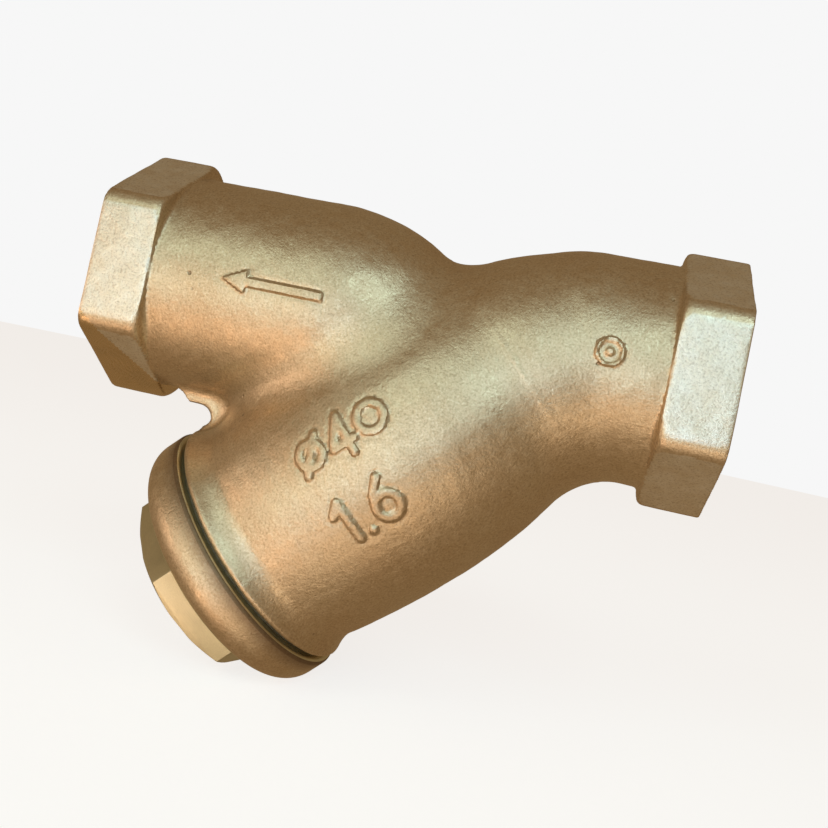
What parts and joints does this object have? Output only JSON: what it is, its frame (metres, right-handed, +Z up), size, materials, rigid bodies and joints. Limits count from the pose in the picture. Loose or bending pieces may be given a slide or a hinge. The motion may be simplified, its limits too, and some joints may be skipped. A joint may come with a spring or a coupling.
{
  "type": "y strainer",
  "caption": "Cast bronze screwed-end Y strainer: straight run with hexagon ends, angled branch holding a screen, and a hexagon-head cap that unscrews to draw the screen out.",
  "frame": {"origin": "centre of the inlet end face, on the run's centre line", "axes": "+X out of the inlet along the run, so the outlet is at -X; +Z up, the branch leaves down and towards the outlet in the plane Y = 0"},
  "size_m": [0.155, 0.0682, 0.1248],
  "materials": {
    "cast_bronze": "blasted sand casting",
    "machined_brass": "cast flange, machined hexagon",
    "gasket": "compressed fibre",
    "stainless_sheet": "perforated sheet",
    "stainless_mesh": "woven wire"
  },
  "bodies": {
    "housing": {"valve_body": "cast_bronze"},
    "screen_set": {"cap_gasket": "gasket", "screen_tube": "stainless_sheet", "mesh_liner": "stainless_mesh", "screen_top_ring": "stainless_sheet", "screen_bottom_ring": "stainless_sheet", "seam_strip": "stainless_sheet"},
    "closure": {"cap": "machined_brass"}
  },
  "joints": [
    {"name": "cap_travel", "type": "slide", "parent": "housing", "child": "screen_set", "axis": [-0.7071, 0, -0.7071], "range_m": [0, 0.0832]},
    {"name": "cap_turn", "type": "hinge", "parent": "screen_set", "child": "closure", "pos_m": [-0.1059, 0, -0.06265], "axis": [-0.7071, 0, -0.7071], "range_deg": [0, 12960]}
  ],
  "couplings": [
    {"joint": "cap_travel", "follows": "cap_turn", "m_per_rad": 0.00036749}
  ]
}
